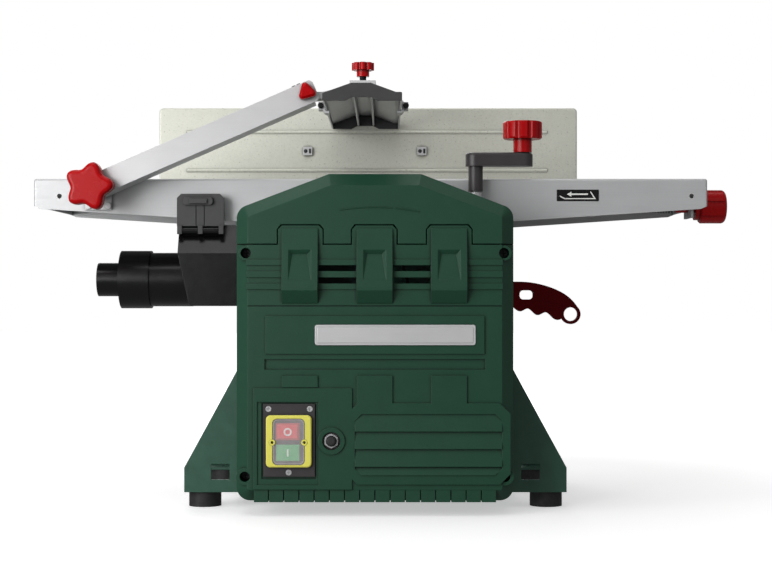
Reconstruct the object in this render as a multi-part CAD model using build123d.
from build123d import *
import math
import os

# Bench-top thickness planer, in millimetres.
# The origin is at the centre of the four bench bolts, on the bench surface.
# +X points to the infeed end, +Y away from the operator and +Z up.

# Tables
TABLE_TOP = 356.0
TABLE_HALF = 105.0
TABLE_SKIN = 10.0
FLANGE_T = 3.0
OUTFEED_END, OUTFEED_LIP = -373.5, -30.0
INFEED_LIP, INFEED_END = 14.0, 362.8
SPINDLE_X0, SPINDLE_Z, SPINDLE_R = 245.0, 330.5, 4.0
DEPTH_KNOB_X, DEPTH_KNOB_R = 373.0, 19.25

# Cutterblock and feed rollers
CUT_X, CUT_Z = -8.0, 331.0
KNIFE_R = 25.0
DRUM_R = 24.0
DRUM_HALF = 104.0
SHAFT_R = 8.45
BEARING_R = 17.5
ROLLER_R = 14.0
ROLLER_Z = 319.0
ROLLER_IN_X, ROLLER_OUT_X = -56.0, 40.0
JOURNAL_R = 6.0
KNIFE_T, KNIFE_DEPTH, KNIFE_HALF = 3.0, 13.0, 102.0
WEDGE_T = 7.0
SPROCKET_R, CHAIN_T = 14.0, 3.6
RUN = 0.05                      # radial running clearance of a shaft in its bore

# Side plates, base and feet
PLATE_IN, PLATE_OUT = 128.0, 131.0
FOOT_X, FOOT_Y = 185.5, 110.0
FOOT_R, FOOT_H = 17.5, 16.5
BOLT_R = 3.5
SHEET = 3.0
BASE_Z = FOOT_H + SHEET

# Thickness table and its lift
BED_TOP = CUT_Z - KNIFE_R - 120.0
BED_X0, BED_X1 = -143.0, 127.0
SCREW_X, SCREW_Y = 108.7, 116.0
POST_X = -124.7
SCREW_R = 6.0
CRANK_REACH = 51.0
KNOB_X = SCREW_X + CRANK_REACH
ARM_Z0, ARM_Z1 = 368.5, 383.2
SPROCKET_LIFT_R = 7.0
LIFT_Z0, LIFT_Z1 = 31.0, 37.0

# Motor and belt
MOTOR_X, MOTOR_Z, MOTOR_R = 45.0, 92.0, 47.0
PULLEY_Y0, PULLEY_Y1 = -172.0, -150.0
MOTOR_PULLEY_R, CUTTER_PULLEY_R = 28.0, 15.0
MOTOR_SHAFT_R = 7.0

# Front cover
COVER_BACK, COVER_FRONT, COVER_WALL = -131.0, -205.0, 3.0
COVER_CHAMFER = 12.5
COVER_SCREWS = [(-133.5, 272.5), (133.5, 272.5), (-134.5, 41.4), (134.5, 41.4)]
COVER_SHANK_R = 2.5
RAISED = 1.5
STRAPS = [(-96.0, -59.0), (-18.7, 18.1), (58.0, 95.0)]
TABS = [(-100.0, -54.0), (-23.6, 22.3), (53.9, 99.7)]
SEAM_Z, TAB_Z, SEAM_GAP, LIP_GAP = 281.0, 301.0, 1.3, 0.2
VENT_ROWS = [(253.8, 260.0), (241.0, 247.4)]
RIBS = [(260.0, 265.8), (247.4, 253.8), (235.1, 241.0)]
GRILLE_X0, GRILLE_X1, GRILLE_Z0, GRILLE_Z1 = -20.7, 131.2, 43.2, 106.2

# Switch and overload reset
SWITCH_X0, SWITCH_X1 = -115.0, -62.0
SWITCH_Z0, SWITCH_Z1 = 41.9, 116.8
STOP_FRONT, START_FRONT = COVER_FRONT - 4.6, COVER_FRONT - 4.0
SWITCH_SCREWS = [(-109.8, 111.7), (-67.2, 111.7), (-89.0, 46.2)]
SWITCH_EARS, SWITCH_EAR_Z = (-105.7, -72.7), 77.5
RESET_X, RESET_Z = -45.0, 78.6

# Fence
FENCE_FACE = 75.0
FENCE_X0, FENCE_X1 = -261.0, 241.0
FENCE_TOP = 453.0
HINGE_Y, HINGE_Z = 84.5, 361.0
QUAD_X0, QUAD_X1 = -153.0, -150.0
QUAD_R = 60.0
HINGE_PIN_R, FENCE_STUD_R = 2.5, 3.0

# Bridge guard and its arm
ARM_X, ARM_Z = -303.4, 344.4
HEAD_X, HEAD_Z = -72.8, 444.8
ARM_FRONT, ARM_BACK = -147.0, -109.0
GUARD_X0, GUARD_X1 = -53.5, 27.8
GUARD_Z0, GUARD_Z1 = 427.0, 445.0
GUARD_Y0, GUARD_Y1 = -232.0, 68.0
GUARD_ARCH = [(GUARD_X0, GUARD_Z0), (GUARD_X0, 434.5), (-24, GUARD_Z1), (-4, GUARD_Z1), (21.5, 435.7),
              (GUARD_X1, 435.7), (GUARD_X1, GUARD_Z0)]
CAP_T = 3.0
BAND_Y0, BAND_Y1 = -140.0, -114.0
HOOK_Z = 432.0
TOP_KNOB_X, TOP_KNOB_Y = -13.5, -127.0
ARM_PIN_R, HEAD_PIN_R = 4.0, 3.0

# Chip chute
CHUTE_X0, CHUTE_X1 = -215.0, -145.0
CHUTE_HALF, CHUTE_NECK = 125.0, 108.0
CHUTE_Z0, CHUTE_Z1, CHUTE_Z2 = 217.0, 274.0, 305.0
CHUTE_WALL = 2.5
PORT_Y, PORT_Z = -55.0, 246.0
PORT_R, PORT_BORE = 30.0, 27.0
COLLAR_R, HOSE_R, HOSE_BORE = 32.25, 18.7, 16.5
LATCH_X0, LATCH_X1 = -215.0, -164.0
LATCH_Y, LATCH_Z, LATCH_PIN_R = 119.5, 299.0, 2.5
LATCH_FEET = (-212.0, -189.5, -167.0)
FOOT_HALF = 2.5

# Push stick
STICK_Y0, STICK_Y1 = 136.0, 144.0
CLIP_X = (-60.0, 80.0)
RING_X, RING_Z, RING_R = 240.3, 204.3, 8.5

# Anti-kickback rod and cable gland
FINGER_X, FINGER_Z, FINGER_ROD_R = -100.0, 325.0, 4.0
GLAND_X, GLAND_Z, GLAND_R = 105.0, 62.0, 7.0

os.makedirs("parts", exist_ok=True)


def box(x0, x1, y0, y1, z0, z1):
    """Block between two opposite corners."""
    return Pos((x0 + x1) / 2, (y0 + y1) / 2, (z0 + z1) / 2) * Box(x1 - x0, y1 - y0, z1 - z0)


def rod_x(x0, x1, y, z, r):
    return Pos((x0 + x1) / 2, y, z) * Rot(0, 90, 0) * Cylinder(r, x1 - x0)


def rod_y(y0, y1, x, z, r):
    return Pos(x, (y0 + y1) / 2, z) * Rot(90, 0, 0) * Cylinder(r, y1 - y0)


def rod_z(z0, z1, x, y, r):
    return Pos(x, y, (z0 + z1) / 2) * Cylinder(r, z1 - z0)


def slab_x(points, x0, x1):
    """Plate with an outline of (y, z) points."""
    return extrude(Plane.YZ.offset(x0) * Polygon(*points, align=None), x1 - x0, dir=(1, 0, 0))


def slab_y(points, y0, y1):
    """Plate with an outline of (x, z) points."""
    return extrude(Plane.XZ.offset(-y1) * Polygon(*points, align=None), y1 - y0, dir=(0, -1, 0))


def join(solids):
    first, *rest = solids
    return first + rest if rest else first


def belt_y(y0, y1, a, b, grow):
    """Solid stadium round two circles (x, z, r), each circle enlarged by grow."""
    (ax, az, ar), (bx, bz, br) = a, b
    span = math.hypot(bx - ax, bz - az)
    turn = math.atan2(bz - az, bx - ax)
    lean = math.acos((ar - br) / span)
    ends = []
    for (x, z, r), sides in ((a, (lean, -lean)), (b, (-lean, lean))):
        reach = r + grow
        ends += [(x + reach * math.cos(turn + s), z + reach * math.sin(turn + s)) for s in sides]
    discs = [rod_y(y0, y1, x, z, r + grow) for x, z, r in (a, b)]
    return join([slab_y(ends, y0, y1)] + discs)


def lobed(radius, count, lobe_r, hub_r, height):
    """Star knob body with its axis on Z, standing on z = 0."""
    arms = [Rot(0, 0, 360 / count * i) * (Pos(radius - lobe_r, 0, height / 2) * Cylinder(lobe_r, height)
            + Pos((radius - lobe_r) / 2, 0, height / 2) * Box(radius - lobe_r, lobe_r * 1.5, height))
            for i in range(count)]
    return join([Pos(0, 0, height / 2) * Cylinder(hub_r, height)] + arms)


def soft_star(points, tip_r, valley_r, height, rounding):
    """Plump star or rounded triangle on z = 0, from a radius that swings between tips and valleys."""
    steps = 6 * points
    mean, sway = (tip_r + valley_r) / 2, (tip_r - valley_r) / 2
    swing = [mean + sway * math.cos(2 * math.pi * i / 6) for i in range(steps)]
    turns = [2 * math.pi * i / steps for i in range(steps)]
    ring = [(r * math.cos(a), r * math.sin(a)) for a, r in zip(turns, swing)]
    body = extrude(make_face(Spline(*ring, periodic=True)), height, dir=(0, 0, 1))
    return fillet(body.faces().sort_by(Axis.Z)[-1].edges(), rounding)


def fluted(radius, count, flute_r, height, dome):
    """Fluted hand-wheel body with its axis on Z, standing on z = 0; dome rounds its upper rim."""
    body = Pos(0, 0, height / 2) * Cylinder(radius, height)
    body = chamfer(body.edges().filter_by(GeomType.CIRCLE).sort_by(Axis.Z)[0], 1.5)
    body = fillet(body.edges().filter_by(GeomType.CIRCLE).sort_by(Axis.Z)[-1], dome)
    flute = Pos(radius + flute_r * 0.4, 0, height / 2) * Cylinder(flute_r, height + 2)
    return body - [Rot(0, 0, 360 / count * i) * flute for i in range(count)]


def mirror_y(solid):
    return mirror(solid, about=Plane.XZ)


def write(name, solid):
    solid.label = name
    export_step(solid, f"parts/{name}.step")


# Frame -----------------------------------------------------------------------
def make_feet():
    feet = []
    for x in (-FOOT_X, FOOT_X):
        for y in (-FOOT_Y, FOOT_Y):
            feet.append(rod_z(0, FOOT_H, x, y, FOOT_R) - rod_z(-1, FOOT_H + 1, x, y, BOLT_R))
    write("rubber_feet", join(feet))


def side_plate():
    """Side plate at the far side, folded inwards at the bottom."""
    half = [(206, FOOT_H), (206, 43), (150, 146), (138, 168), (138, 300), (128, 322), (50, 351), (34, 353.5)]
    outline = half + [(-x, z) for x, z in reversed(half)]
    plate = slab_y(outline, PLATE_IN, PLATE_OUT)
    plate += box(-206, 206, 91, PLATE_IN, FOOT_H, BASE_Z)
    for side in (-1, 1):
        plate -= box(side * 167 - 10, side * 167 + 10, PLATE_IN - 1, PLATE_OUT + 1, 30, 47)
        plate -= rod_z(FOOT_H - 1, BASE_Z + 1, side * FOOT_X, FOOT_Y, BOLT_R)
    plate -= rod_y(PLATE_IN - 1, PLATE_OUT + 1, CUT_X, CUT_Z, 11.0)
    plate -= rod_y(PLATE_IN - 1, PLATE_OUT + 1, FINGER_X, FINGER_Z, FINGER_ROD_R)
    return plate


def make_side_plates():
    far = side_plate()
    for x in (ROLLER_IN_X, ROLLER_OUT_X):
        far -= rod_y(PLATE_IN - 1, PLATE_OUT + 1, x, ROLLER_Z, JOURNAL_R + 2)
    far -= rod_y(PLATE_IN - 1, PLATE_OUT + 1, GLAND_X, GLAND_Z, GLAND_R)
    write("far_side_plate", far)
    near = mirror_y(side_plate())
    near -= rod_y(-PLATE_OUT - 1, -PLATE_IN + 1, MOTOR_X, MOTOR_Z, 12.0)
    for x, z in COVER_SCREWS:
        near -= rod_y(-PLATE_OUT - 1, -PLATE_IN + 1, x, z, COVER_SHANK_R)
    write("near_side_plate", near)


def make_base():
    base = box(-160, 160, -126, 126, BASE_Z, BASE_Z + SHEET)
    for x, y in ((SCREW_X, -SCREW_Y), (POST_X, SCREW_Y)):
        base -= rod_z(BASE_Z - 1, BASE_Z + SHEET + 1, x, y, SCREW_R + RUN)
    write("base_plate", base)


def make_guide_posts():
    posts = [rod_z(BASE_Z + SHEET, 312, x, y, SCREW_R) for x, y in ((SCREW_X, SCREW_Y), (POST_X, -SCREW_Y))]
    write("guide_posts", join(posts))


def make_mounting_blocks():
    """Blocks on the side plates that carry the outfeed table and steady the posts and screws."""
    blocks = []
    for side in (-1, 1):
        y0, y1 = sorted((side * TABLE_HALF, side * PLATE_IN))
        blocks.append(box(POST_X - 12, POST_X + 12, y0, y1, 303, 324))
        y0, y1 = sorted((side * (TABLE_HALF + 3), side * PLATE_IN))
        blocks.append(box(SCREW_X - 12, SCREW_X + 12, y0, y1, 303, 311.5))
    blocks = join(blocks)
    blocks -= rod_z(302, 313, POST_X, SCREW_Y, SCREW_R + RUN)
    blocks -= rod_z(302, 312, SCREW_X, -SCREW_Y, SCREW_R + RUN)
    blocks -= rod_z(302, 312, POST_X, -SCREW_Y, SCREW_R)
    blocks -= rod_z(302, 312, SCREW_X, SCREW_Y, SCREW_R)
    write("mounting_blocks", blocks)


# Tables ----------------------------------------------------------------------
def table_shell(end, lip, kink, raise_x):
    """Cast table: skin, folded side flanges and one end flange. end is the far end, lip is at the cutter."""
    side = 1 if end > lip else -1
    top, under = TABLE_TOP, TABLE_TOP - TABLE_SKIN
    x0, x1 = min(end, lip), max(end, lip)
    skin = box(x0, x1, -TABLE_HALF, TABLE_HALF, under, top)
    flange = [(end, under), (end, 326), (end - side * 7.5, 323), (kink, 309), (raise_x + side * 6, 309),
              (raise_x, 338), (lip + side * 14, 338), (lip + side * 14, under)]
    near = slab_y(flange, -TABLE_HALF, -TABLE_HALF + FLANGE_T)
    ribs = [box(min(end - side * 3, raise_x + side * 20), max(end - side * 3, raise_x + side * 20),
                y - 2, y + 2, 334, under) for y in (-50, 50)]
    end_x = (end - FLANGE_T, end) if side > 0 else (end, end + FLANGE_T)
    end_flange = box(end_x[0], end_x[1], -TABLE_HALF, TABLE_HALF, 326, under)
    table = join([skin, near, mirror_y(near), end_flange] + ribs)
    bevel = slab_y([(lip - side, under - 1), (lip - side, top - 4), (lip, top - 4), (lip + side * 10, under),
                    (lip + side * 10, under - 1)], -TABLE_HALF - 1, TABLE_HALF + 1)
    table -= bevel
    for y in (-TABLE_HALF, TABLE_HALF):
        table -= rod_y(y - 4, y + 4, side * 345.5, 337, 2.5)
    corners = table.edges().filter_by(Axis.Z).filter_by(
        lambda e: abs(e.center().X - end) < 0.1 and abs(abs(e.center().Y) - TABLE_HALF) < 0.1)
    table = fillet(corners, 2.4)
    top_edges = table.edges().filter_by(Axis.X).filter_by(lambda e: abs(e.center().Z - top) < 0.1)
    return fillet(top_edges, 2.5)


def make_tables():
    write("outfeed_table", table_shell(OUTFEED_END, OUTFEED_LIP, -143, -112))
    infeed = table_shell(INFEED_END, INFEED_LIP, 143, 67)
    infeed += box(INFEED_END - FLANGE_T, INFEED_END, -22, 22, 317, 330)
    infeed += box(SPINDLE_X0 + 5, SPINDLE_X0 + 9, -22, 22, 320, TABLE_TOP - TABLE_SKIN)
    infeed -= rod_x(SPINDLE_X0 - 5, INFEED_END + 1, 0, SPINDLE_Z, SPINDLE_R + RUN)
    write("infeed_table", infeed)


def make_depth_knob():
    knob = Pos(DEPTH_KNOB_X, 0, SPINDLE_Z) * Rot(0, 90, 0) * fluted(DEPTH_KNOB_R, 7, 1.6, 30, 5)
    hub = rod_x(DEPTH_KNOB_X - 5.5, DEPTH_KNOB_X + 1, 0, SPINDLE_Z, 15.5)
    hub += rod_x(363.2, DEPTH_KNOB_X - 5, 0, SPINDLE_Z, 7)
    spindle = rod_x(SPINDLE_X0, 390, 0, SPINDLE_Z, SPINDLE_R)
    collar = rod_x(346, 359.3, 0, SPINDLE_Z, 7)
    write("depth_knob", join([knob, hub, spindle, collar]))


# Cutterblock, feed rollers and drive -----------------------------------------

def make_cutter():
    """Two-knife cutterblock; each slot holds a wedge and a knife."""
    drum = rod_y(-DRUM_HALF, DRUM_HALF, 0, 0, DRUM_R)
    drum += rod_y(PULLEY_Y0, -DRUM_HALF, 0, 0, SHAFT_R) + rod_y(DRUM_HALF, 150, 0, 0, SHAFT_R)
    pulley = rod_y(PULLEY_Y0, PULLEY_Y1, 0, 0, CUTTER_PULLEY_R)
    knives, wedges = [], []
    for turn in (0, 180):
        place = Pos(CUT_X, 0, CUT_Z) * Rot(0, turn + 20, 0)
        slot = box(-WEDGE_T, KNIFE_T, -DRUM_HALF - 1, DRUM_HALF + 1, DRUM_R - KNIFE_DEPTH, DRUM_R + 3)
        drum -= Rot(0, turn + 20, 0) * slot
        seat = DRUM_R - KNIFE_DEPTH
        edge = [(0, seat), (KNIFE_T, seat), (KNIFE_T, KNIFE_R - 3), (0, KNIFE_R)]
        knives.append(place * slab_y(edge, -KNIFE_HALF, KNIFE_HALF))
        wedge = box(-WEDGE_T, 0, -KNIFE_HALF, KNIFE_HALF, seat, DRUM_R - 2.5)
        screws = [rod_z(DRUM_R - 4.5, DRUM_R - 1.0, 0, y, 2.6) for y in (-84, -42, 0, 42, 84)]
        wedges.append(place * (wedge + Pos(-WEDGE_T / 2, 0, 0) * join(screws)))
    drum += pulley
    write("cutter_drum", Pos(CUT_X, 0, CUT_Z) * drum)
    write("planer_knives", join(knives))
    write("knife_wedges", join(wedges))


def make_bearings():
    rings = [rod_y(y, y + 10, CUT_X, CUT_Z, BEARING_R) - rod_y(y - 1, y + 11, CUT_X, CUT_Z, SHAFT_R + RUN)
             for y in (-127, 117)]
    write("cutter_bearings", join(rings))


def make_bearing_blocks():
    """Cast blocks inside the plates for the cutter bearings and the feed roller journals."""
    blocks = []
    for side in (-1, 1):
        y0, y1 = sorted((side * 115, side * PLATE_IN))
        housing = box(CUT_X - 24, CUT_X + 24, y0, y1, 305, 353)
        seat = sorted((side * 117, side * 127))
        housing -= rod_y(seat[0], seat[1], CUT_X, CUT_Z, BEARING_R)
        housing -= rod_y(y0 - 1, y1 + 1, CUT_X, CUT_Z, 12)
        blocks.append(housing)
        y0, y1 = sorted((side * 108, side * PLATE_IN))
        for x in (ROLLER_IN_X, ROLLER_OUT_X):
            block = box(x - 12, x + 12, y0, y1, 305, 334)
            blocks.append(block - rod_y(y0 - 1, y1 + 1, x, ROLLER_Z, JOURNAL_R + RUN))
    write("bearing_blocks", join(blocks))


def make_rollers():
    for name, x in (("infeed_roller", ROLLER_IN_X), ("outfeed_roller", ROLLER_OUT_X)):
        roller = rod_y(-103, 103, x, ROLLER_Z, ROLLER_R) + rod_y(-127, 160, x, ROLLER_Z, JOURNAL_R)
        sprocket = rod_y(152.5, 156.5, x, ROLLER_Z, SPROCKET_R)
        write(name, join([roller, sprocket]))


def make_feed_drive():
    a, b = (ROLLER_IN_X, ROLLER_Z, SPROCKET_R), (ROLLER_OUT_X, ROLLER_Z, SPROCKET_R)
    chain = belt_y(152, 157, a, b, CHAIN_T + 0.4) - belt_y(151, 158, a, b, 0.4)
    write("feed_chain", chain)
    case = [(-74, 302), (-38, 302), (14, 312), (14, 343), (8, 347), (-30, 347), (-74, 334)]
    gearbox = slab_y(case, PLATE_OUT, 151)
    gearbox -= rod_y(PLATE_OUT - 1, 150.5, CUT_X, CUT_Z, SHAFT_R + 2)
    gearbox -= rod_y(PLATE_OUT - 1, 152, ROLLER_IN_X, ROLLER_Z, JOURNAL_R + 1)
    write("feed_gearbox", gearbox)


def make_motor():
    body = rod_y(-112, 48, MOTOR_X, MOTOR_Z, MOTOR_R - 4)
    bells = [rod_y(-PLATE_IN, -108, MOTOR_X, MOTOR_Z, MOTOR_R), rod_y(36, 60, MOTOR_X, MOTOR_Z, MOTOR_R)]
    fins = [Pos(MOTOR_X, -36, MOTOR_Z) * Rot(0, 360 / 24 * i, 0) * Pos(0, 0, MOTOR_R - 4) * Box(2.4, 144, 8)
            for i in range(24)]
    housing = join([body] + bells + fins) - rod_y(-PLATE_IN - 1, -100, MOTOR_X, MOTOR_Z, MOTOR_SHAFT_R + RUN)
    write("motor_housing", housing)
    shaft = rod_y(PULLEY_Y0, -101, MOTOR_X, MOTOR_Z, MOTOR_SHAFT_R)
    pulley = rod_y(PULLEY_Y0, PULLEY_Y1, MOTOR_X, MOTOR_Z, MOTOR_PULLEY_R)
    write("motor_shaft", shaft + pulley)
    a, b = (MOTOR_X, MOTOR_Z, MOTOR_PULLEY_R), (CUT_X, CUT_Z, CUTTER_PULLEY_R)
    belt = belt_y(-170, -152, a, b, 3.4) - belt_y(-171, -151, a, b, 0.4)
    write("drive_belt", belt)


def make_kickback():
    fingers = []
    for i in range(14):
        y = -94.25 + 14.5 * i
        tip = slab_y([(FINGER_X - 7, FINGER_Z), (FINGER_X + 7, FINGER_Z + 2), (FINGER_X + 16, 303.5),
                      (FINGER_X + 11, 303.5)], y - 3, y + 3)
        finger = tip + rod_y(y - 3, y + 3, FINGER_X, FINGER_Z, 7.5)
        fingers.append(finger)
    sleeve = rod_y(-98, 98, FINGER_X, FINGER_Z, 6.2)
    fingers = join([sleeve] + fingers) - rod_y(-99, 99, FINGER_X, FINGER_Z, FINGER_ROD_R + RUN)
    write("kickback_fingers", fingers)
    write("kickback_rod", rod_y(-PLATE_OUT, PLATE_OUT, FINGER_X, FINGER_Z, FINGER_ROD_R))


# Thickness table and lift -----------------------------------------------------

def make_thickness_table():
    bed = box(BED_X0, BED_X1, -DRUM_HALF, DRUM_HALF, BED_TOP - 8, BED_TOP)
    rails = [box(BED_X0, BED_X1, y - 3, y + 3, BED_TOP - 30, BED_TOP - 8) for y in (-101, -50, 0, 50, 101)]
    cross = [box(x - 3, x + 3, -DRUM_HALF, DRUM_HALF, BED_TOP - 26, BED_TOP - 8)
             for x in (-140, -50, 40, 124)]
    lugs = []
    for x in (SCREW_X, POST_X):
        for side in (-1, 1):
            y0, y1 = sorted((side * 98, side * 125))
            lugs.append(box(x - 12, x + 12, y0, y1, BED_TOP - 36, BED_TOP - 8))
    bed = join([bed] + rails + cross + lugs)
    bed = fillet(bed.edges().filter_by(Axis.Y).filter_by(lambda e: abs(e.center().Z - BED_TOP) < 0.1), 4)
    for x in (SCREW_X, POST_X):
        for y in (-SCREW_Y, SCREW_Y):
            bed -= rod_z(BED_TOP - 40, BED_TOP, x, y, SCREW_R + RUN)
    write("thickness_table", bed)


def make_lift():
    crank = rod_z(BASE_Z, 378, SCREW_X, -SCREW_Y, SCREW_R) + rod_z(328, 341, SCREW_X, -SCREW_Y, 7.0)
    crank += rod_z(LIFT_Z0, LIFT_Z1, SCREW_X, -SCREW_Y, SPROCKET_LIFT_R)
    second = rod_z(BASE_Z, 312.0, POST_X, SCREW_Y, SCREW_R)
    second += rod_z(LIFT_Z0, LIFT_Z1, POST_X, SCREW_Y, SPROCKET_LIFT_R)
    write("crank_screw", crank)
    write("lead_screw_2", second)
    link = [(SCREW_X, -SCREW_Y), (POST_X, SCREW_Y)]
    span = math.hypot(SCREW_X - POST_X, 2 * SCREW_Y)
    lean = math.degrees(math.atan2(2 * SCREW_Y, POST_X - SCREW_X))
    place = Pos((SCREW_X + POST_X) / 2, 0, (LIFT_Z0 + LIFT_Z1) / 2) * Rot(0, 0, lean)
    outer = extrude(SlotCenterToCenter(span, 2 * (SPROCKET_LIFT_R + 4.2)), 2, both=True)
    inner = extrude(SlotCenterToCenter(span, 2 * (SPROCKET_LIFT_R + 0.4)), 4, both=True)
    write("lift_chain", place * (outer - inner))


def make_crank():
    outline = Pos(SCREW_X + CRANK_REACH / 2, -SCREW_Y, ARM_Z0) * SlotCenterToCenter(CRANK_REACH, 22)
    arm = extrude(outline, ARM_Z1 - ARM_Z0, dir=(0, 0, 1))
    arm = fillet(arm.faces().sort_by(Axis.Z)[-1].edges(), 3)
    arm += rod_z(341.5, ARM_Z0 + 1, SCREW_X, -SCREW_Y, 7.9)
    arm -= rod_z(340, 378, SCREW_X, -SCREW_Y, SCREW_R)
    pin = rod_z(ARM_Z1 - 2, 410, KNOB_X, -SCREW_Y, 4)
    write("crank_arm", arm + pin)
    grip = Pos(KNOB_X, -SCREW_Y, 398) * fluted(21.2, 10, 3.4, 19, 2)
    stem = rod_z(ARM_Z1 + 0.4, 398, KNOB_X, -SCREW_Y, 10.0)
    knob = grip + stem - rod_z(ARM_Z1, 411, KNOB_X, -SCREW_Y, 4 + RUN)
    write("crank_knob", knob)


# Front cover ------------------------------------------------------------------

def cover_outline(inset):
    points = [(143.8, 15.6), (143.8, 318.5), (48, 355)]
    sketch = Polygon(*points, *[(-x, z) for x, z in reversed(points)], align=None)
    sketch = fillet(sketch.vertices().group_by(Axis.Y)[0] + sketch.vertices().group_by(Axis.Y)[1], 14)
    return offset(sketch, -inset) if inset else sketch


def cover_block(inset, y0, y1):
    return extrude(Plane.XZ.offset(-y1) * cover_outline(inset), y1 - y0, dir=(0, -1, 0))


def octagon(x0, x1, z0, z1, cut, y0, y1):
    points = [(x0 + cut, z0), (x1 - cut, z0), (x1, z0 + cut), (x1, z1 - cut), (x1 - cut, z1), (x0 + cut, z1),
              (x0, z1 - cut), (x0, z0 + cut)]
    return slab_y(points, y0, y1)


def cover_body():
    body = cover_block(0, COVER_FRONT, COVER_BACK)
    body = chamfer(body.faces().sort_by(Axis.Y)[0].edges(), COVER_CHAMFER)
    body -= cover_block(COVER_WALL, COVER_FRONT + COVER_CHAMFER + 3, COVER_BACK + 1)
    body -= cover_block(COVER_CHAMFER + 4, COVER_FRONT + COVER_WALL, COVER_FRONT + COVER_CHAMFER + 4)
    for x, z in COVER_SCREWS:
        body += rod_y(COVER_FRONT + 1, COVER_BACK, x, z, 7.8 if z > 200 else 9.0)
    return body


def strap(x0, x1):
    """Pull tab: a wedge growing downwards, with a scooped trapezoid in its face."""
    face = COVER_FRONT
    wedge = slab_x([(face + 1, TAB_Z - 3), (face - 1, TAB_Z - 3), (face - 9.5, 237), (face - 9.5, 234),
                    (face - 1, 221), (face + 1, 220)], x0, x1)
    mid = (x0 + x1) / 2
    cuts = []
    for z, skin, floor, half in ((276, face - 4.28, face - 4.1, 11.7), (271.5, face - 4.84, face - 1.2, 7.6),
                                 (245, face - 8.43, face - 8.2, 11.7)):
        side = [(mid - 12, face - 20), (mid + 12, face - 20), (mid + 12, skin), (mid + half, floor),
                (mid - half, floor), (mid - 12, skin)]
        cuts.append(Pos(0, 0, z) * Polygon(*side, align=None))
    return wedge - loft(cuts, ruled=True)


def vent_panel():
    """Octagonal grille of four overhanging louvres in front of an open window."""
    face = COVER_FRONT
    slats = []
    for top, bottom in ((107, 87.2), (87.2, 69.1), (69.1, 50.9), (50.9, 41)):
        slats.append(slab_x([(face + 2.6, top + 1), (face + 0.2, top + 1), (face - 2.8, bottom + 1.2),
                             (face - 0.4, bottom + 1.2)], -21, 132))
    posts = [box(x - 1.5, x + 1.5, face, face + 2.8, 43, 107) for x in (16, 55, 94)]
    return join(slats + posts) & octagon(GRILLE_X0, GRILLE_X1, GRILLE_Z0, GRILLE_Z1, 7, face - 5, face + 5)


def above_seam(gap):
    """The space above the parting line, which steps up round each strap; gap moves the line outwards."""
    seam = [(-160, SEAM_Z + gap)]
    for x0, x1 in TABS:
        x0, x1 = x0 - gap, x1 + gap
        seam += [(x0, SEAM_Z + gap), (x0, TAB_Z - 4), (x0 + 4, TAB_Z + gap), (x1 - 4, TAB_Z + gap),
                 (x1, TAB_Z - 4), (x1, SEAM_Z + gap)]
    return slab_y(seam + [(160, SEAM_Z + gap), (160, 370), (-160, 370)], -230, -120)


def make_front_cover():
    face = COVER_FRONT
    cover = cover_body()
    for x0, x1 in STRAPS:
        cover += strap(x0, x1)
    cover += box(-113, 113, face - RAISED, face + 1, 168.4, 207.5)
    cover += [box(-133, 132, face - 1.2, face + 1, z0, z1) for z0, z1 in RIBS]
    for (x0, x1), z0 in zip(STRAPS, (134, 117, 117)):
        cover += box(x0, x1, face - RAISED, face + 1, z0, 146)
    cover += box(-125.7, -23.6, face - RAISED, face + 1, 28.5, 133)
    cover -= box(-121.6, -58.2, face - 3, face - 0.4, 33, 118.8)
    cover += rod_y(face - 3, face + 1, RESET_X, RESET_Z, 14)
    cover += octagon(-29.0, 140.0, 33.5, 117.5, 11, face - RAISED, face + 11)
    for i in range(16):
        x = 15.7 * (i - 7.5)
        cover += box(x - 7.3, x + 7.3, face + 0.3, face + 14, 15.2, 31.8)
    cover -= box(-114, 114, face - 1, face + 1.8, 152, 163)
    for z0, z1 in VENT_ROWS:
        for x0, x1 in ((-58.3, -19.4), (18.8, 57.3)):
            cover -= box(x0, x1, face - 1, face + 5, z0, z1)
    cover -= box(-131, 131, face - 1, face + 1.0, 217.2, 218.6)
    cover -= box(-117.1, -60.9, face - 3, face + 1, 39.1, 117.9)
    cover -= box(-112, -65.5, face - 3, face + 20, 51, 108)
    cover -= rod_y(face - 5, face + 1, RESET_X, RESET_Z, 9.3)
    cover -= rod_y(face - 5, face + 20, RESET_X, RESET_Z, 7.7)
    cover -= octagon(GRILLE_X0, GRILLE_X1, GRILLE_Z0, GRILLE_Z1, 7, face - 5, face + 5)
    cover += vent_panel()
    for x, z in COVER_SCREWS:
        cover -= rod_y(face - 1, face + 20, x, z, 5.4)
        cover -= rod_y(face, COVER_BACK + 1, x, z, COVER_SHANK_R)
    lip = cover & above_seam(LIP_GAP) & box(-160, 160, face + COVER_CHAMFER + 1.5, COVER_BACK + 1, 270, 310)
    write("front_cover_upper", (cover & above_seam(SEAM_GAP)) + lip)
    write("front_cover_lower", cover - above_seam(0))
    screws = []
    for x, z in COVER_SCREWS:
        head = rod_y(face + 16.5, face + 20, x, z, 4.6)
        head -= box(x - 3, x + 3, face + 16, face + 17.8, z - 0.5, z + 0.5)
        head -= box(x - 0.5, x + 0.5, face + 16, face + 17.8, z - 3, z + 3)
        screws.append(head + rod_y(face + 19.9, -PLATE_IN, x, z, COVER_SHANK_R))
    write("cover_screws", join(screws))


# Switch -----------------------------------------------------------------------
def rounded_plate(x0, x1, z0, z1, corner, y0, y1):
    sketch = fillet((Pos((x0 + x1) / 2, (z0 + z1) / 2) * Rectangle(x1 - x0, z1 - z0)).vertices(), corner)
    return extrude(Plane.XZ.offset(-y1) * sketch, y1 - y0, dir=(0, -1, 0))


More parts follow.
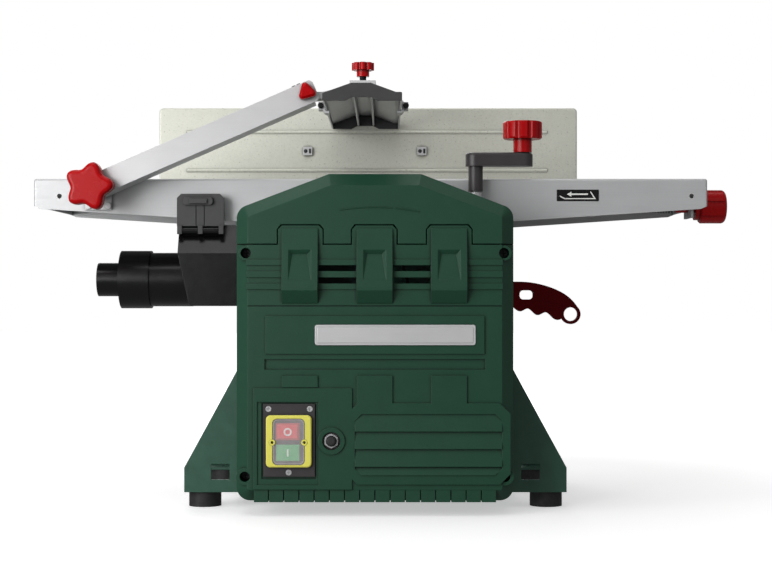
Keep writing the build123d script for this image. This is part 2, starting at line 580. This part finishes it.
def make_switch():
    face = COVER_FRONT
    plate = box(SWITCH_X0, SWITCH_X1, face - 2, face + 1, SWITCH_Z0, SWITCH_Z1)
    plate += box(-111.5, -66, face, face + 42, 51.5, 107.5)
    plate -= box(-109, -68.5, face - 3, face + 9, 54, 104)
    plate -= [rod_y(face - 3, face - 0.5, x, z, 3.1) for x, z in SWITCH_SCREWS]
    washer = rod_y(face - 0.4, face + 1.0, RESET_X, RESET_Z, 9.2)
    plate += washer - rod_y(face - 1, face + 2, RESET_X, RESET_Z, 7.75)
    write("switch_plate", plate)
    frame = rounded_plate(-112.2, -65.2, 51.7, 105.4, 4.5, face - 6, face - 2)
    frame = chamfer(frame.faces().sort_by(Axis.Y)[0].edges(), 1.0)
    frame -= rounded_plate(-105.6, -72.1, 54.1, 102, 5.0, face - 7, face)
    for x in SWITCH_EARS:
        frame += rod_y(face - 6.4, face - 2, x, SWITCH_EAR_Z, 3.1)
    for x in SWITCH_EARS:
        frame -= rod_y(face - 7, face - 3, x, SWITCH_EAR_Z, 1.5)
    write("switch_frame", frame)
    membrane = rounded_plate(-105.3, -72.4, 54.4, 101.7, 4.7, face - 5.6, face - 4.9)
    write("switch_membrane", membrane - [rod_y(face - 7, face, x, SWITCH_EAR_Z, 3.1) for x in SWITCH_EARS])
    stop = box(-102.2, -77.5, STOP_FRONT, face + 5, 79.4, 97)
    stop = chamfer(stop.faces().sort_by(Axis.Y)[0].edges(), 2.4)
    write("stop_button", stop)
    start = box(-101.9, -77.5, START_FRONT, face + 5, 58.1, 75)
    write("start_button", chamfer(start.faces().sort_by(Axis.Y)[0].edges(), 0.6))
    screws = []
    for x, z in SWITCH_SCREWS:
        head = rod_y(face - 2.3, face - 0.5, x, z, 3.0)
        head -= box(x - 2, x + 2, face - 3, face - 1.5, z - 0.4, z + 0.4)
        head -= box(x - 0.4, x + 0.4, face - 3, face - 1.5, z - 2, z + 2)
        screws.append(head)
    write("switch_screws", join(screws))
    nut = Plane.XZ.offset(-face - 0.5) * Pos(RESET_X, RESET_Z) * Rot(0, 0, 30) * RegularPolygon(7.6, 6)
    nut = extrude(nut, 3.5, dir=(0, -1, 0)) + rod_y(face + 0.5, face + 26, RESET_X, RESET_Z, 7.4)
    nut -= rod_y(face - 4, face + 12, RESET_X, RESET_Z, 5.6)
    write("breaker_nut", nut)
    boot = rod_y(face - 7, face + 8, RESET_X, RESET_Z, 5.2)
    write("reset_button", fillet(boot.faces().sort_by(Axis.Y)[0].edges(), 2.5))


# Rear cover, cable gland and push stick ----------------------------------------
def make_rear():
    outline = [(-100, 255), (90, 255), (90, 322), (52, 345), (30, 352), (-46, 352), (-100, 332)]
    inner = [(-97, 258), (87, 258), (87, 320.5), (50.5, 342.5), (29.5, 349), (-45.5, 349), (-97, 330)]
    shell = slab_y(outline, PLATE_OUT, 172)
    shell = fillet(shell.faces().sort_by(Axis.Y)[-1].edges(), 5)
    shell -= slab_y(inner, PLATE_OUT - 1, 169)
    write("rear_cover", shell)
    hexagon = Plane.XZ.offset(-138) * Pos(GLAND_X, GLAND_Z) * RegularPolygon(11, 6)
    gland = extrude(hexagon, 138 - PLATE_OUT, dir=(0, -1, 0))
    gland += rod_y(PLATE_IN - 4, PLATE_OUT, GLAND_X, GLAND_Z, GLAND_R) + rod_y(138, 149, GLAND_X, GLAND_Z, 9)
    gland -= rod_y(PLATE_IN - 5, 150, GLAND_X, GLAND_Z, 3.6)
    write("cable_gland", gland)


def make_push_stick():
    nose, heel = (RING_X + 9.2, RING_Z + 7.7), (RING_X - 9.6, RING_Z - 4.3)
    crest = Spline((158, 244.6), (190, 243.8), (213.8, 238.2), nose, tangents=[(1, 0), (0.6, -1)])
    grip = Spline(heel, (219.8, 198.6), (209, 206.6), (199.4, 203.1), (187, 211.2), (178.4, 207.8),
                  (165, 215.8), (158, 215.5))
    back = Polyline(heel, nose)
    tail = Polyline((158, 215.5), (150, 222), (-110, 222), (-110, 244), (150, 244), (158, 244.6))
    face = Plane.XZ.offset(-STICK_Y1) * make_face([crest, grip, back, tail])
    stick = extrude(face, STICK_Y1 - STICK_Y0, dir=(0, -1, 0))
    stick += rod_y(STICK_Y0, STICK_Y1, RING_X, RING_Z, 12.3)
    stick -= rod_y(STICK_Y0 - 1, STICK_Y1 + 1, RING_X, RING_Z, RING_R)
    slot = box(177, 193.5, STICK_Y0 - 1, STICK_Y1 + 1, 222.6, 233.8)
    stick -= fillet(slot.edges().filter_by(Axis.Y), 4.5)
    stick -= slab_y([(-120, 216), (-100, 216), (-100, 230), (-120, 236)], STICK_Y0 - 1, STICK_Y1 + 1)
    write("push_stick", stick)
    clips = []
    for x in CLIP_X:
        channel = box(x - 10, x + 10, STICK_Y0 - 0.4, STICK_Y1 + 0.4, 221.6, 244.4)
        clips.append(box(x - 9, x + 9, PLATE_OUT, 148, 217, 249) - channel)
    write("push_stick_holder", join(clips))


# Fence ------------------------------------------------------------------------
def fence_block(inset, bottom, y0, y1):
    """Sheet outline with its top corners rounded."""
    width, height = FENCE_X1 - FENCE_X0 - 2 * inset, FENCE_TOP - inset - bottom
    sketch = Pos((FENCE_X0 + FENCE_X1) / 2, bottom + height / 2) * Rectangle(width, height)
    sketch = fillet(sketch.vertices().group_by(Axis.Y)[-1], 5 - inset)
    return extrude(Plane.XZ.offset(-y1) * sketch, y1 - y0, dir=(0, -1, 0))


def make_fence():
    back = FENCE_FACE + 2
    fence = fence_block(0, 356.6, FENCE_FACE, back)
    fence += fence_block(0, 376, back, back + 12) - fence_block(2, 375, back - 1, back + 13)
    fence = fillet(fence.faces().sort_by(Axis.Y)[0].edges(), 1.8)
    for z in (378, 424):
        bead = rod_x(-228, 205, FENCE_FACE + 0.6, z, 2.2)
        fence += bead & box(-229, 206, FENCE_FACE - 3, FENCE_FACE + 1, z - 3, z + 3)
    bolts = [(-82.6, 401), (54.5, 401)]
    for x, z in bolts:
        fence -= rod_y(FENCE_FACE - 1, back + 1, x, z, 3.2)
    write("fence_plate", fence)

    carriage = box(QUAD_X1 - 3, 72, back, back + 2, 368, 432)
    for x, z in bolts:
        carriage += rod_y(FENCE_FACE - 1, back + 0.1, x, z, 3.1)
        carriage += rod_y(FENCE_FACE - 3.5, FENCE_FACE - 0.01, x, z, 5.5)
        carriage += rod_y(back + 1.9, back + 6, x, z, 5)
    for x0, x1 in ((-149.4, -141.4), (-126.6, -118.6)):
        knuckle = rod_x(x0, x1, HINGE_Y, HINGE_Z, 4.0)
        web = box(x0, x1, back, HINGE_Y, HINGE_Z, HINGE_Z + 8) - rod_x(x0, x1, HINGE_Y, HINGE_Z, 3.9)
        carriage += [knuckle, web]
    ring = rod_x(QUAD_X0, QUAD_X1, HINGE_Y, HINGE_Z, QUAD_R + 7)
    ring -= rod_x(QUAD_X0, QUAD_X1, HINGE_Y, HINGE_Z, QUAD_R - 7)
    sector = sector_points(-15, 96, QUAD_R + 20)
    carriage += ring & slab_x(sector, QUAD_X0, QUAD_X1)
    carriage += box(QUAD_X0, QUAD_X1, back + 1, HINGE_Y + 8, 416, 431)
    slot = rod_x(QUAD_X0 - 1, QUAD_X1 + 1, HINGE_Y, HINGE_Z, QUAD_R + 3.3)
    slot -= rod_x(QUAD_X0 - 1, QUAD_X1 + 1, HINGE_Y, HINGE_Z, QUAD_R - 3.3)
    slot &= slab_x(sector_points(-9, 44, QUAD_R + 20), QUAD_X0 - 1, QUAD_X1 + 1)
    carriage -= slot
    carriage -= rod_x(-160, -110, HINGE_Y, HINGE_Z, HINGE_PIN_R + RUN)
    write("fence_quadrant", carriage)

    turn = math.radians(-5)
    stud_y, stud_z = HINGE_Y + QUAD_R * math.cos(turn), HINGE_Z + QUAD_R * math.sin(turn)
    bracket = box(-140.9, -127.1, TABLE_HALF, 108, 325, TABLE_TOP)
    bracket += box(-140.9, -127.1, HINGE_Y - 3, 154, TABLE_TOP, TABLE_TOP + 4)
    bracket += box(-140.9, -127.1, 105, 112, 346, TABLE_TOP + 1)
    bracket += rod_x(-140.9, -127.1, HINGE_Y, HINGE_Z, 4.0)
    bracket += box(-140.9, -127.1, HINGE_Y - 3, HINGE_Y + 5, TABLE_TOP, HINGE_Z)
    bracket += box(-149, -127.1, 134, 154, 347, TABLE_TOP + 3)
    bracket += rod_x(-151, -116, HINGE_Y, HINGE_Z, HINGE_PIN_R)
    bracket += rod_x(-168, -148, stud_y, stud_z, FENCE_STUD_R)
    write("fence_bracket", bracket)
    knob = Pos(-154, stud_y, stud_z) * Rot(0, -90, 0) * lobed(15, 5, 4.5, 9, 16)
    knob -= rod_x(-168.5, -150, stud_y, stud_z, FENCE_STUD_R + RUN)
    write("fence_knob", knob)


def sector_points(start, stop, reach):
    """Fan of (y, z) points about the fence hinge, between two angles from +Y."""
    steps = max(2, round((stop - start) / 15))
    fan = [math.radians(start + (stop - start) * i / steps) for i in range(steps + 1)]
    rim = [(HINGE_Y + reach * math.cos(a), HINGE_Z + reach * math.sin(a)) for a in fan]
    return [(HINGE_Y, HINGE_Z)] + rim


# Bridge guard -------------------------------------------------------------------

def guard_outline(inset):
    sketch = fillet(Polygon(*GUARD_ARCH, align=None).vertices(), 1.4)
    return offset(sketch, -inset) if inset else sketch


def guard_block(inset, y0, y1):
    return extrude(Plane.XZ.offset(-y1) * guard_outline(inset), y1 - y0, dir=(0, -1, 0))


def make_guard():
    y0, y1 = GUARD_Y0 + CAP_T, GUARD_Y1 - CAP_T
    profile = guard_block(0, y0, y1) - guard_block(2, y0 - 1, y1 + 1)
    profile -= box(GUARD_X0 + 2, GUARD_X1 - 2, y0 - 1, y1 + 1, GUARD_Z0 - 1, GUARD_Z0 + 4)
    for x in (-21.5, -3.5):
        profile += box(x - 1, x + 1, y0, y1, GUARD_Z0 + 4, GUARD_Z1 - 1.5) & guard_block(1, y0, y1)
    write("guard_profile", profile)
    arch = slab_y([(-32, GUARD_Z0 - 1), (-23, GUARD_Z0 + 3.6), (-4, GUARD_Z0 + 3.6), (5, GUARD_Z0 - 1)],
                  GUARD_Y0 - 1, GUARD_Y1 + 1)
    write("guard_end_caps", join([guard_block(0, GUARD_Y0, y0), guard_block(0, y1, GUARD_Y1)]) - arch)

    band = guard_block(-3.0, BAND_Y0, BAND_Y1) - guard_block(-0.5, BAND_Y0 - 1, BAND_Y1 + 1)
    band -= box(GUARD_X0 + 4, GUARD_X1 - 4, BAND_Y0 - 1, BAND_Y1 + 1, GUARD_Z0 - 5, GUARD_Z0 + 3)
    ear = rod_y(ARM_FRONT + 2.8, -111, HEAD_X, HEAD_Z, 8)
    web = box(HEAD_X, GUARD_X0 - 0.6, BAND_Y0, BAND_Y1, HEAD_Z - 5.5, HEAD_Z + 2)
    gusset = [(GUARD_X0 - 3, 432), (GUARD_X0 - 3, HEAD_Z + 2), (GUARD_X0 + 26, HEAD_Z + 9),
              (GUARD_X0 + 26, HEAD_Z + 5), (GUARD_X0 + 12, HEAD_Z), (GUARD_X0 - 0.6, 436)]
    web += slab_y(gusset, BAND_Y0, BAND_Y1) - guard_block(-0.5, BAND_Y0 - 1, BAND_Y1 + 1)
    clamp = box(-27.5, 0.5, BAND_Y0 - 1, BAND_Y1 + 1, 454.5, 459)
    clamp += box(TOP_KNOB_X - 7, TOP_KNOB_X + 7, -134, -120, 447, 456)
    sides = (GUARD_X0 - 5, GUARD_X1 + 5)
    hooks = [box(x - 2.5, x + 2.5, -138, -122, HOOK_Z - 4.5, HOOK_Z + 4) for x in sides]
    hooks += [rod_y(-142, -138, x, HOOK_Z, 2.8) for x in sides]
    head = join([band, ear, web, clamp] + hooks)
    head -= rod_y(ARM_FRONT, -110, HEAD_X, HEAD_Z, HEAD_PIN_R + RUN)
    head -= rod_z(450, 460, TOP_KNOB_X, TOP_KNOB_Y, 3.0 + RUN)
    write("guard_head", head)

    knob = Pos(TOP_KNOB_X, TOP_KNOB_Y, 471.3) * lobed(12, 8, 3.2, 9.5, 8)
    knob += rod_z(464.5, 472, TOP_KNOB_X, TOP_KNOB_Y, 6.75) + rod_z(450.5, 473, TOP_KNOB_X, TOP_KNOB_Y, 3.0)
    write("top_knob", knob)


def make_arm():
    span = math.hypot(HEAD_X - ARM_X, HEAD_Z - ARM_Z)
    rise = math.degrees(math.atan2(HEAD_Z - ARM_Z, HEAD_X - ARM_X))
    depth = ARM_BACK - ARM_FRONT
    half = 12.0
    plan = Rectangle(span + 20, 2 * half)
    outer = extrude(fillet(plan.vertices(), 5), depth)
    pocket = extrude(fillet(Rectangle(span + 16, 2 * half - 4).vertices(), 3), depth)
    channel = outer - Pos(0, 0, -2.5) * pocket
    channel -= Pos(span / 2 + 12, -2, depth / 2 - 3) * Box(16, 2 * half, depth)
    channel = Plane(origin=((ARM_X + HEAD_X) / 2, ARM_BACK, (ARM_Z + HEAD_Z) / 2), x_dir=(1, 0, 0),
                    z_dir=(0, -1, 0)) * Rot(0, 0, rise) * channel
    channel -= rod_y(ARM_FRONT - 1, ARM_FRONT + 4, ARM_X, ARM_Z, ARM_PIN_R + RUN)
    channel -= rod_y(ARM_FRONT - 1, ARM_FRONT + 4, HEAD_X, HEAD_Z, HEAD_PIN_R + RUN)
    write("guard_arm", channel)

    bracket = box(-317, -288, -108.5, -TABLE_HALF, 322, 354)
    bracket += rod_y(ARM_FRONT + 2.9, -108, ARM_X, ARM_Z, 8) + rod_y(-158, -110, ARM_X, ARM_Z, ARM_PIN_R)
    bracket += [rod_y(-111, -108, x, 326, 3.2) for x in (-313, -291.5)]
    write("arm_bracket", bracket)

    star = Pos(ARM_X, -150, ARM_Z) * Rot(90, 0, 0) * (Rot(0, 0, 4.5) * soft_star(5, 26, 19.2, 17, 5))
    star += rod_y(-150.1, ARM_FRONT - 0.3, ARM_X, ARM_Z, 8.5)
    star -= rod_y(-159, -140, ARM_X, ARM_Z, ARM_PIN_R + RUN)
    write("star_knob", star)
    tri = extrude(fillet(RegularPolygon(13.5, 3).vertices(), 3.6), 12)
    tri = chamfer(tri.faces().sort_by(Axis.Z)[-1].edges(), 2.4)
    tri = Pos(HEAD_X, -150, HEAD_Z) * Rot(90, 0, 0) * (Rot(0, 0, 105) * tri)
    tri += rod_y(-150.1, ARM_FRONT - 0.3, HEAD_X, HEAD_Z, 5.0) + rod_y(-151, -112, HEAD_X, HEAD_Z, HEAD_PIN_R)
    write("clamp_knob", tri)


# Chip chute ---------------------------------------------------------------------

def chute_solid(inset, x0, x1):
    half, neck = CHUTE_HALF - inset, CHUTE_NECK - inset
    points = [(-half, CHUTE_Z0 + inset), (half, CHUTE_Z0 + inset), (half, CHUTE_Z1), (neck, CHUTE_Z2 - inset),
              (-neck, CHUTE_Z2 - inset), (-half, CHUTE_Z1)]
    return slab_x(points, x0, x1)


def make_chute():
    body = chute_solid(0, CHUTE_X0, CHUTE_X1)
    body &= slab_y([(-201, CHUTE_Z0 - 1), (-214, CHUTE_Z1), (-214, CHUTE_Z2 + 1), (CHUTE_X1, CHUTE_Z2 + 1),
                    (CHUTE_X1, CHUTE_Z0 - 1)], -CHUTE_HALF - 1, CHUTE_HALF + 1)
    inner = chute_solid(CHUTE_WALL, CHUTE_X0, CHUTE_X1 + 1)
    inner &= slab_y([(-198, CHUTE_Z0), (-211, CHUTE_Z1), (-211, CHUTE_Z2), (CHUTE_X1 + 1, CHUTE_Z2),
                     (CHUTE_X1 + 1, CHUTE_Z0)], -CHUTE_HALF, CHUTE_HALF)
    tube = rod_x(-253, -205, PORT_Y, PORT_Z, PORT_R) - inner
    body = body - inner + tube
    body -= rod_x(-254, -190, PORT_Y, PORT_Z, PORT_BORE)
    gaps = [(a + FOOT_HALF + 0.4, b - FOOT_HALF - 0.4) for a, b in zip(LATCH_FEET, LATCH_FEET[1:])]
    for side in (-1, 1):
        for x0, x1 in gaps:
            web = [(side * 109, 293), (side * LATCH_Y, LATCH_Z - 4), (side * LATCH_Y, LATCH_Z + 4),
                   (side * 107, 303)]
            lug = slab_x(web, x0, x1) + rod_x(x0, x1, side * LATCH_Y, LATCH_Z, 4.0)
            body += lug - inner
        body -= rod_x(LATCH_X0, LATCH_X1, side * LATCH_Y, LATCH_Z, LATCH_PIN_R + RUN)
    write("chute_body", body)
    z = PORT_Z
    adapter = rod_x(-285, -251.4, PORT_Y, z, COLLAR_R) + rod_x(-311, -284, PORT_Y, z, HOSE_R)
    adapter -= rod_x(-253, -250, PORT_Y, z, PORT_R)
    adapter -= rod_x(-282, -252.9, PORT_Y, z, PORT_BORE)
    adapter -= rod_x(-312, -281, PORT_Y, z, HOSE_BORE)
    write("port_adapter", adapter)
    for name, side in (("chute_latch_front", -1), ("chute_latch_rear", 1)):
        write(name, make_latch(side))


def make_latch(side):
    """Swing-over latch with a finger tab, two shallow grooves and three feet at its root."""
    def block(x0, x1, out0, out1, z0, z1):
        y0, y1 = sorted((side * (LATCH_Y + out0), side * (LATCH_Y + out1)))
        return box(x0, x1, y0, y1, z0, z1)

    x0, x1 = LATCH_X0, LATCH_X1
    face = [(x0, 303.5), (x1, 303.5), (x1, 334), (x1 - 4.5, 338.6), (x0 + 4.5, 338.6), (x0, 334)]
    y0, y1 = sorted((side * (LATCH_Y - 2.5), side * (LATCH_Y + 2.5)))
    lever = slab_y(face, y0, y1) + block(x0 + 6, x1 - 6, -11, -2, 333.5, 337.5)
    tab = chamfer(block(x0 + 7, x1 - 12, 2, 6.5, 326.5, 334.5).edges().filter_by(Axis.Y), 2)
    lever += tab + block(x0 + 14, x1 - 18, 5, 8.5, 328, 333)
    for x in LATCH_FEET:
        lever += block(x - FOOT_HALF, x + FOOT_HALF, -1, 4.8, 295, 304)
        lever += rod_x(x - FOOT_HALF, x + FOOT_HALF, side * LATCH_Y, LATCH_Z, 4.2)
    lever -= [block(x - 0.6, x + 0.6, 1.7, 3, 304, 326) for x in (x0 + 21, x0 + 30)]
    return lever + rod_x(LATCH_FEET[0] - 1, LATCH_FEET[-1] + 1, side * LATCH_Y, LATCH_Z, LATCH_PIN_R)


make_feet()
make_side_plates()
make_base()
make_guide_posts()
make_mounting_blocks()
make_tables()
make_depth_knob()
make_cutter()
make_bearings()
make_bearing_blocks()
make_rollers()
make_feed_drive()
make_motor()
make_kickback()
make_thickness_table()
make_lift()
make_crank()
make_front_cover()
make_switch()
make_rear()
make_push_stick()
make_fence()
make_guard()
make_arm()
make_chute()
